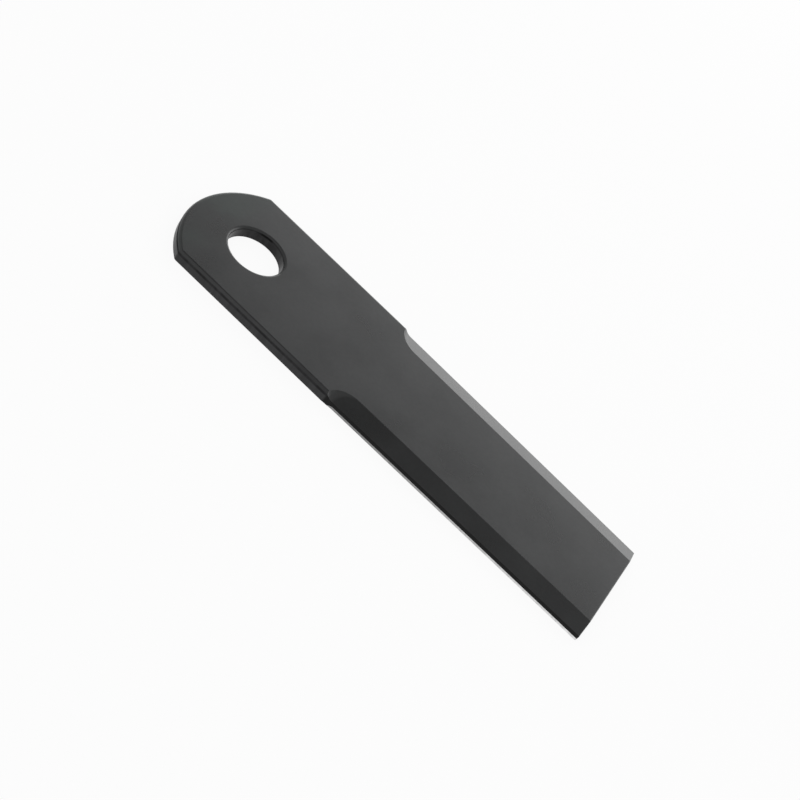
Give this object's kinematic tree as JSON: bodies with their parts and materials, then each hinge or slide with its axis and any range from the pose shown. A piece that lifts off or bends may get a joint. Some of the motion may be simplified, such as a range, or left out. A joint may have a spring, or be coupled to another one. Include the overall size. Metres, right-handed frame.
{
  "type": "straw chopper knife",
  "caption": "Flat chopper knife with a round mounting bore in its rounded shank and a ground bevel along each long edge of its outer part.",
  "frame": {"origin": "on the bore's axis, in the plane of the flat back face", "axes": "+X along the blade to its free tip, +Y across the blade, +Z along the bore and out of the bevelled face"},
  "size_m": [0.173, 0.05, 0.004],
  "materials": {
    "dark_steel": "satin dark coat over hardened steel"
  },
  "bodies": {
    "root": {"chopper_knife": "dark_steel"}
  },
  "joints": []
}
